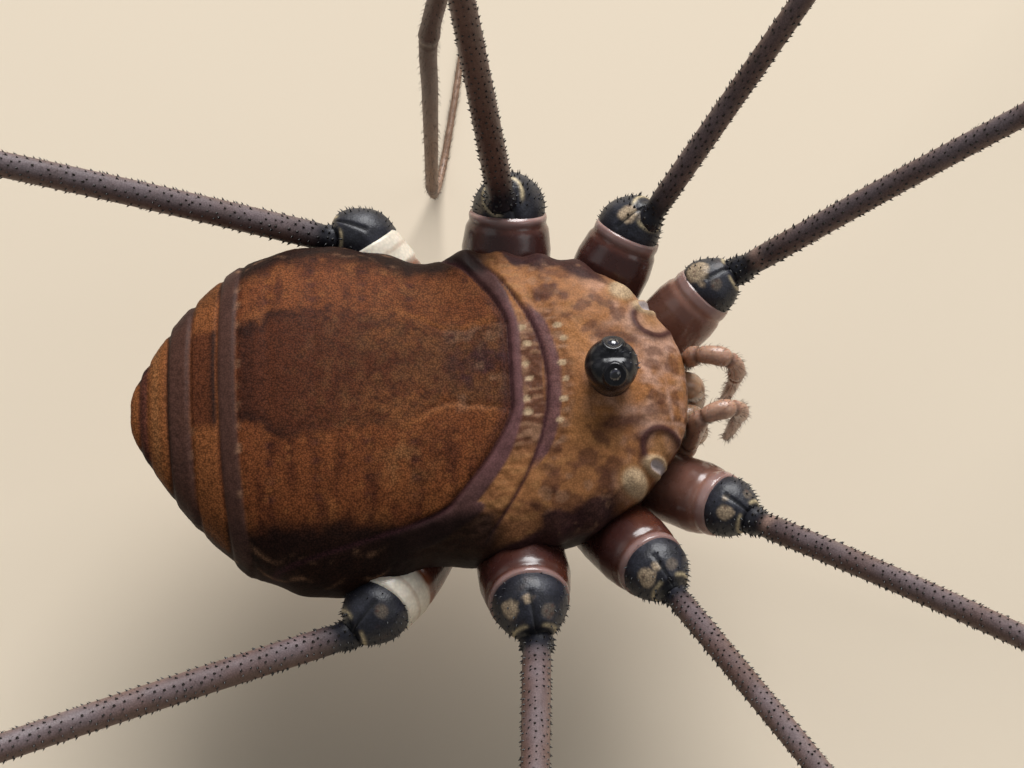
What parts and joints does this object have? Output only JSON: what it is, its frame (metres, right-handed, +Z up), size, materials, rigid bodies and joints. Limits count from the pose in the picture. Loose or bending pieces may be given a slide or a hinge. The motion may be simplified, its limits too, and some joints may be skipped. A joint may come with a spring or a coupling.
{
  "type": "harvestman",
  "caption": "Life-size still model of a harvestman standing on long thin legs, with an oval leathery body, an eye hill and short palps.",
  "frame": {"origin": "middle of the box round the whole stance, on the floor the feet stand on", "axes": "+Z up; the animal faces -Y and its left side is +X"},
  "size_m": [0.046, 0.0474, 0.0109],
  "materials": {
    "carapace": "satin",
    "abdomen": "matte, finely grained",
    "eye_black": "glossy",
    "mouthparts": "satin, slightly see-through",
    "hip_black": "satin",
    "leg_brown": "satin",
    "foot_brown": "satin"
  },
  "bodies": {
    "root": {"prosoma": "carapace", "abdomen": "abdomen", "abdomen_tip": "abdomen", "ocularium": "eye_black", "eye_left": "eye_black", "chelicera_left": "mouthparts", "pedipalp_left": "mouthparts", "eye_right": "eye_black", "chelicera_right": "mouthparts", "pedipalp_right": "mouthparts", "leg1_left_trochanter": "hip_black", "leg1_left_femur": "leg_brown", "leg1_left_patella": "leg_brown", "leg1_left_tibia": "leg_brown", "leg1_left_metatarsus": "foot_brown", "leg1_left_tarsus": "foot_brown", "leg1_right_trochanter": "hip_black", "leg1_right_femur": "leg_brown", "leg1_right_patella": "leg_brown", "leg1_right_tibia": "leg_brown", "leg1_right_metatarsus": "foot_brown", "leg1_right_tarsus": "foot_brown", "leg2_left_trochanter": "hip_black", "leg2_left_femur": "leg_brown", "leg2_left_patella": "leg_brown", "leg2_left_tibia": "leg_brown", "leg2_left_metatarsus": "foot_brown", "leg2_left_tarsus": "foot_brown", "leg2_right_trochanter": "hip_black", "leg2_right_femur": "leg_brown", "leg2_right_patella": "leg_brown", "leg2_right_tibia": "leg_brown", "leg2_right_metatarsus": "foot_brown", "leg2_right_tarsus": "foot_brown", "leg3_left_trochanter": "hip_black", "leg3_left_femur": "leg_brown", "leg3_left_patella": "leg_brown", "leg3_left_tibia": "leg_brown", "leg3_left_metatarsus": "foot_brown", "leg3_left_tarsus": "foot_brown", "leg3_right_trochanter": "hip_black", "leg3_right_femur": "leg_brown", "leg3_right_patella": "leg_brown", "leg3_right_tibia": "leg_brown", "leg3_right_metatarsus": "foot_brown", "leg3_right_tarsus": "foot_brown", "leg4_left_trochanter": "hip_black", "leg4_left_femur": "leg_brown", "leg4_left_patella": "leg_brown", "leg4_left_tibia": "leg_brown", "leg4_left_metatarsus": "foot_brown", "leg4_left_tarsus": "foot_brown", "leg4_right_trochanter": "hip_black", "leg4_right_femur": "leg_brown", "leg4_right_patella": "leg_brown", "leg4_right_tibia": "leg_brown", "leg4_right_metatarsus": "foot_brown", "leg4_right_tarsus": "foot_brown"}
  },
  "joints": []
}
